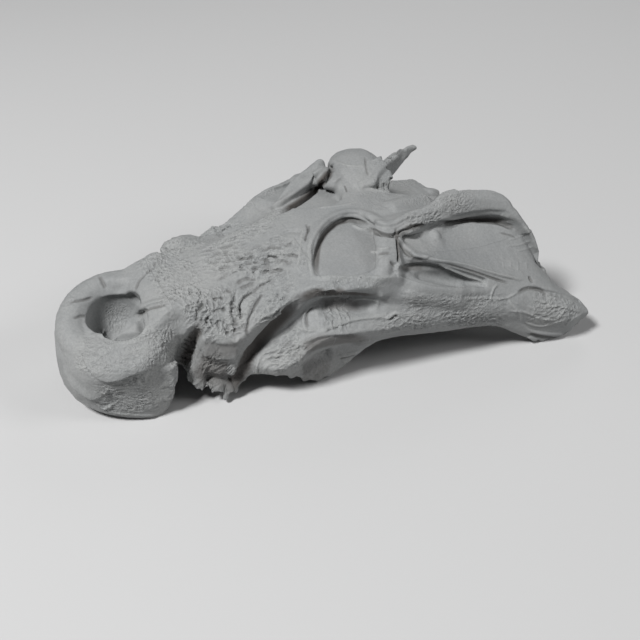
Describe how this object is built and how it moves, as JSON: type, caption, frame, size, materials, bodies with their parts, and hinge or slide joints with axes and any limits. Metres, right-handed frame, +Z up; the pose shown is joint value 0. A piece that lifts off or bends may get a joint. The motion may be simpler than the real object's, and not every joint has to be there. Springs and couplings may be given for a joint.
{
  "type": "fossil crocodile cranium",
  "caption": "Fossil cranium of a broad-snouted crocodile without its lower jaw, in grey mineralised bone, with a raised nostril, deep snout notches and a broken right rear corner.",
  "frame": {"origin": "under the middle of the skull's bounding box, level with its lowest points", "axes": "+Y points from the snout back to the jaw joints, +X to the animal's left, +Z up"},
  "size_m": [0.3202, 0.548, 0.1592],
  "materials": {
    "fossil_bone": "matt, pitted and ridged mineralised bone"
  },
  "bodies": {
    "root": {"premaxilla": "fossil_bone", "nasal": "fossil_bone", "maxilla_left": "fossil_bone", "maxilla_right": "fossil_bone", "frontal": "fossil_bone", "palatine": "fossil_bone", "jugal_left": "fossil_bone", "jugal_right": "fossil_bone", "skull_table": "fossil_bone", "braincase": "fossil_bone", "pterygoid": "fossil_bone", "temporal_left": "fossil_bone", "temporal_right": "fossil_bone"}
  },
  "joints": []
}
